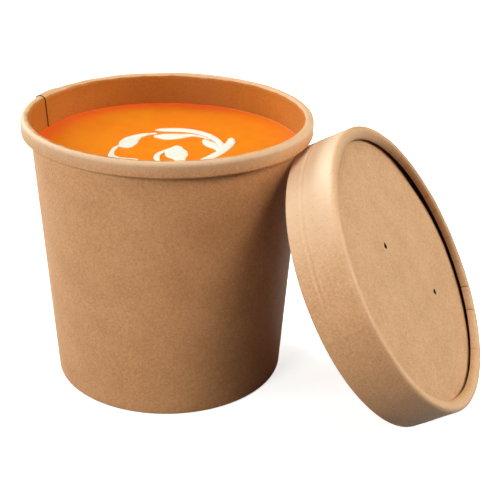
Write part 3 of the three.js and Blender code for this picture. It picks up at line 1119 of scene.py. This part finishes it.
def round_vents(name, section, materials, sides=40):
    """A closed ring round each vent. section gives its points, as radius and height, for a direction and the
    number of the vent."""
    points, faces = [], []
    for number, (x, y) in enumerate(VENTS):
        first = len(points)
        for i in range(sides):
            turn = 2 * math.pi * i / sides
            stops = section(turn, number)
            points += [(x + out * math.cos(turn), y + out * math.sin(turn), z) for out, z in stops]
        count = len(stops)
        for i in range(sides):
            for j in range(count):
                k, m = (i + 1) % sides, (j + 1) % count
                corners = ((i, j), (k, j), (k, m), (i, m))
                faces.append([first + side * count + stop for side, stop in corners])
    return mesh_piece(name, points, faces, materials)


def vent_lips(lid, cup, materials, tube=10):
    """Torn fibres pushed up along one side of each vent."""
    level = lid.height - lid.panel_depth + cup.paper / 2

    def section(turn, number):
        thick = (0.05 + 0.14 * max(0.0, math.cos(turn - 0.9 - number * 0.4)) ** 1.5) * MM
        reach = lid.vent_radius * 1.14 + thick * 0.9
        bends = [2 * math.pi * j / tube for j in range(tube)]
        return [(reach + thick * math.cos(bend), level + thick * 0.8 * math.sin(bend)) for bend in bends]

    return round_vents("vent_lips", section, materials)


def vent_cones(lid, cup, materials):
    """Torn paper that each punch pushed in behind the panel, as a ragged cone."""
    under = lid.height - lid.panel_depth - cup.paper / 2 + 0.05 * MM

    def section(turn, number):
        depth = CONE_DEPTH * (1 + 0.12 * math.sin(5 * turn + number) + 0.06 * math.sin(11 * turn))
        return [(lid.vent_radius * out, under - depth * down) for out, down in CONE_SECTION]

    return round_vents("vent_cones", section, materials)


def lid_pale_and_sheen_mask(lid):
    """How pale the paper is: a little paler along the fold, with a painted highlight on the fold's near side,
    and a painted sheen on the side where the lid lies uppermost.
    """

    def mask(shader, place):
        x, y, z = shader.split(place)
        fold = z.ramp(lid.height - PALE_FOLD_DEPTH, lid.height)
        # Painted sheen on the side where the lid lies uppermost; the crest below is a painted highlight on
        # the near side.
        upper = (0.0 - x).ramp(*SHEEN_SIDE) * 0.8
        crest = 0.27 - y.ramp(*CREST_HIGHLIGHT_SPAN) * 0.17
        return fold * crest + upper * (1.0 - fold)

    return mask


def lid_streaks(lid):
    """Creases across the fold, none on the side."""

    def streaks(shader, place):
        z = shader.split(place)[2]
        on_fold = z.ramp(*(lid.height - depth for depth in STREAKED_DEPTHS))
        return cross_streaks(shader, place) * on_fold * 1.6

    return streaks


def lid_shade_mask(lid):
    """Painted shade on the inner side of the fold, strongest on the far side, with painted shade in its
    pleats and in the creases near its end.
    """

    def mask(shader, place):
        x, y, z = shader.split(place)
        out = x.hypot(y)
        crest = lid.top_radius - lid.fold_width / 2
        inner = 1.0 - out.ramp(crest - FOLD_LEAN - 0.5 * MM, crest + 0.6 * MM)
        around = y.direction(x) + (shader.noise(place, 2 * MM) - 0.5) * 0.02
        crease_shade = added(
            (1.0 - abs(around - math.radians(degrees)).ramp(CREASE_WIDTH * 0.5, CREASE_WIDTH * 1.5)) * force
            for degrees, force in CREASES
        )
        pleat_shade = cross_streaks(shader, place).ramp(0.42, 0.6)
        near_end = 1.0 - out.ramp(crest - 1.8 * MM, crest - 0.6 * MM)
        on_fold = z > lid.height - SHADED_FOLD_DEPTH
        far = around.ramp(*SHADE_FROM) * (1.0 - around.ramp(*SHADE_TO)) * 0.8 + 0.1
        return (inner * far + inner * pleat_shade * 0.25 + near_end * crease_shade * 0.55) * on_fold

    return mask


def panel_shade_mask(lid, cup):
    """Painted shadow: 1 on the rim of the panel under the ring's fold, which widens and narrows, and painted
    shade inside the vents.
    """

    def mask(shader, place):
        x, y, z = shader.split(place)
        wander = (shader.noise(place, 20 * MM, 1.0) - 0.5) * GAP_SHADOW_WANDER
        around = y.direction(x)
        closed = around.ramp(*GAP_SHADOW_CLOSES_ABOVE) * (1.0 * MM)
        closed = closed + (1.0 - around.ramp(*GAP_SHADOW_CLOSES_BELOW)) * (0.7 * MM)
        start = lid.top_radius - lid.fold_width / 2 - FOLD_LEAN - GAP_SHADOW_WIDTH
        dark = (x.hypot(y) + wander - closed).ramp(start, start + GAP_SHADOW_FADE)
        sunk = z < lid.height - lid.panel_depth + cup.paper / 2 - 0.1 * MM
        for vent_x, vent_y in VENTS:
            dark = dark + ((x - vent_x).hypot(y - vent_y) < lid.vent_radius * 1.25) * sunk
        return dark.ramp(0.0, 1.0)

    return mask


class SOUPCUP_OT_lid(Operator):
    """Lid: its ring, the panel let into it and the lips of its vents"""

    bl_idname = "soupcup.lid"
    bl_label = "Lid"

    def execute(self, context):
        scene = context.scene
        lid, cup, finish = scene.soup_lid, scene.soup_cup, scene.soup_paper
        place = lid_matrix(lid, cup)
        side = kraft("lid kraft", tuple(finish.lid), finish, place, finish.lid_pale_and_sheen, lid_pale_and_sheen_mask(lid),
                     lid_streaks(lid), finish.shade, lid_shade_mask(lid), roughness=0.48, gloss=0.6)
        top = kraft("panel kraft", tuple(finish.panel), finish, place, shade=finish.torn,
                    shade_mask=panel_shade_mask(lid, cup), roughness=0.6)
        lips = kraft("torn kraft", tuple(finish.pale), finish, place, roughness=0.8)
        torn = torn_kraft_in_painted_shade(finish, place)
        pieces = (
            (lid_ring_mesh(lid, cup, [side]), "lid_ring", "lid_paper"),
            (panel_mesh(lid, cup, [top]), "lid_panel", "panel_paper"),
            (vent_lips(lid, cup, [lips]), "lid_panel", "panel_paper"),
            (vent_cones(lid, cup, [torn]), "lid_panel", "panel_paper"),
        )
        for piece, node, slot in pieces:
            settled(piece, node, place)
        return {"FINISHED"}


# Stage
FLOOR_SIZE = 6.0
FLOOR_STEP = -0.2 * MM
CAMERA_SPOT = Vector((0.0, -398.99 * MM, 237.09 * MM))
CAMERA_DOWN = 0.4300
CAMERA_YAW = 0.1275
CAMERA_ROLL = 0.0477
CAMERA_FOCAL_PIXELS = 1031.0
CAMERA_CENTRE = (290.0, 245.6)
SENSOR = 36.0
LAMP_TARGET = Vector((0.0, 0.0, 0.05))
# Each lamp: name, watts, width in metres, place, tint, and whether it shows as sheen on the paper
LAMPS = (
    ("low lamp on the left", 4.0, 0.4, (-0.90, -0.25, 0.25), (0.79, 0.93, 1.0), False),
    ("lamp above", 4.0, 0.5, (0.0, 0.0, 0.95), (0.80, 1.0, 1.0), True),
    ("lamp in front on the right", 4.2, 0.6, (0.62, -0.58, 0.80), (1.0, 0.86, 0.72), True),
    ("lamp far on the right", 5.3, 0.5, (0.95, 0.15, 0.45), (0.95, 1.0, 0.84), True),
    ("lamp behind on the left", 6.0, 0.5, (-0.60, 0.60, 0.45), (0.93, 1.0, 0.98), True),
    ("lamp in front on the left", 4.1, 0.4, (-0.60, -0.70, 0.45), (1.0, 0.95, 0.86), True),
)
FLOOR_FADE = (0.9, 2.6)
WHITE = (1.0, 1.0, 1.0, 1.0)


def camera_matrix():
    """Where the camera stands and looks, which was fitted to the photo's outlines."""
    forward = Vector((
        math.sin(CAMERA_YAW) * math.cos(CAMERA_DOWN),
        math.cos(CAMERA_YAW) * math.cos(CAMERA_DOWN),
        -math.sin(CAMERA_DOWN),
    ))
    level = Vector((math.cos(CAMERA_YAW), -math.sin(CAMERA_YAW), 0.0))
    upright = level.cross(forward)
    right = math.cos(CAMERA_ROLL) * level + math.sin(CAMERA_ROLL) * upright
    up = math.cos(CAMERA_ROLL) * upright - math.sin(CAMERA_ROLL) * level
    turn = Matrix((right, up, -forward)).transposed().to_4x4()
    return Matrix.Translation(CAMERA_SPOT + CUP_AXIS) @ turn


def add_camera(scene):
    data = bpy.data.cameras.new("camera")
    data.sensor_width = SENSOR
    data.lens = CAMERA_FOCAL_PIXELS * SENSOR / PHOTO_PIXELS
    data.shift_x = 0.5 - CAMERA_CENTRE[0] / PHOTO_PIXELS
    data.shift_y = CAMERA_CENTRE[1] / PHOTO_PIXELS - 0.5
    data.clip_start = 0.01
    camera = bpy.data.objects.new("camera", data)
    camera.matrix_world = camera_matrix()
    scene.collection.objects.link(camera)
    scene.camera = camera


def add_lamp(scene, name, watts, size, spot, tint, sheen):
    """A round soft lamp that points at the cup."""
    data = bpy.data.lights.new(name, "AREA")
    data.energy = watts
    data.shape = "DISK"
    data.size = size
    data.color = tint
    lamp = bpy.data.objects.new(name, data)
    lamp.location = spot
    lamp.visible_glossy = sheen
    lamp.rotation_euler = (LAMP_TARGET - Vector(spot)).to_track_quat("-Z", "Y").to_euler()
    scene.collection.objects.link(lamp)


def add_floor(name, level, studio, glow):
    """A floor sheet, which shines on its own so that it stays as pale far away as it is near the lamps."""
    shader = new_shader(name)
    x, y = shader.split(shader.node("ShaderNodeTexCoord", output="Object"))[:2]
    far = x.hypot(y).ramp(*FLOOR_FADE)
    material = shader.finish(
        Base_Color=tuple(studio.floor),
        Roughness=0.9,
        Specular_IOR_Level=0.1,
        Emission_Color=shader.mix(far, (glow, glow, glow, 1.0), WHITE),
        Emission_Strength=1.0,
    )
    half = FLOOR_SIZE / 2
    corners = [(-half, -half, level), (half, -half, level), (half, half, level), (-half, half, level)]
    floor = mesh_piece(name, corners, [(0, 1, 2, 3)], [material])
    floor.visible_diffuse = False
    floor.visible_shadow = False
    return floor


def add_backdrop(scene, studio):
    """White surroundings that are seen but light nothing, so that the lamps alone shape the paper."""
    world = bpy.data.worlds.new("white backdrop")
    scene.world = world
    Shader(world, "Background").finish(Color=WHITE, Strength=studio.backdrop)
    world.cycles_visibility.diffuse = False
    world.cycles_visibility.glossy = False


class SOUPCUP_OT_stage(Operator):
    """Pale floor, soft studio light and the camera"""

    bl_idname = "soupcup.stage"
    bl_label = "Stage"

    def execute(self, context):
        scene = context.scene
        studio = scene.soup_studio
        add_camera(scene)
        seen = add_floor("floor", 0.0, studio, studio.glow)
        seen.visible_glossy = False
        mirrored = add_floor("floor in reflections", FLOOR_STEP, studio, 0.0)
        mirrored.visible_camera = False
        add_backdrop(scene, studio)
        for name, watts, size, spot, tint, sheen in LAMPS:
            add_lamp(scene, name, watts * studio.lamps, size, spot, tint, sheen)
        scene.view_settings.view_transform = "Standard"
        return {"FINISHED"}


class SOUPCUP_PT_panel(Panel):
    """Lists the pieces of the soup container"""

    bl_label = "Soup container"
    bl_space_type = "VIEW_3D"
    bl_region_type = "UI"
    bl_category = "Soup container"

    def draw(self, context):
        for step in STEPS:
            self.layout.operator(step.bl_idname)
        for group in GROUPS.values():
            settings = getattr(context.scene, group)
            for name in settings.bl_rna.properties.keys():
                if name not in ("name", "rna_type"):
                    self.layout.prop(settings, name)


GROUPS = {
    CupSizes: "soup_cup",
    SoupSizes: "soup_soup",
    LidSizes: "soup_lid",
    PaperFinish: "soup_paper",
    FoodFinish: "soup_food",
    StudioSetup: "soup_studio",
}
STEPS = (
    SOUPCUP_OT_stage,
    SOUPCUP_OT_cup_wall,
    SOUPCUP_OT_cup_base,
    SOUPCUP_OT_soup,
    SOUPCUP_OT_lid,
)


def register():
    for group, name in GROUPS.items():
        bpy.utils.register_class(group)
        setattr(bpy.types.Scene, name, PointerProperty(type=group))
    for step in (*STEPS, SOUPCUP_PT_panel):
        bpy.utils.register_class(step)


def unregister():
    for step in (SOUPCUP_PT_panel, *reversed(STEPS)):
        bpy.utils.unregister_class(step)
    for group, name in GROUPS.items():
        delattr(bpy.types.Scene, name)
        bpy.utils.unregister_class(group)


def main():
    register()
    bpy.ops.soupcup.stage()
    bpy.ops.soupcup.cup_wall()
    bpy.ops.soupcup.cup_base()
    bpy.ops.soupcup.soup()
    bpy.ops.soupcup.lid()


if __name__ == "__main__":
    main()
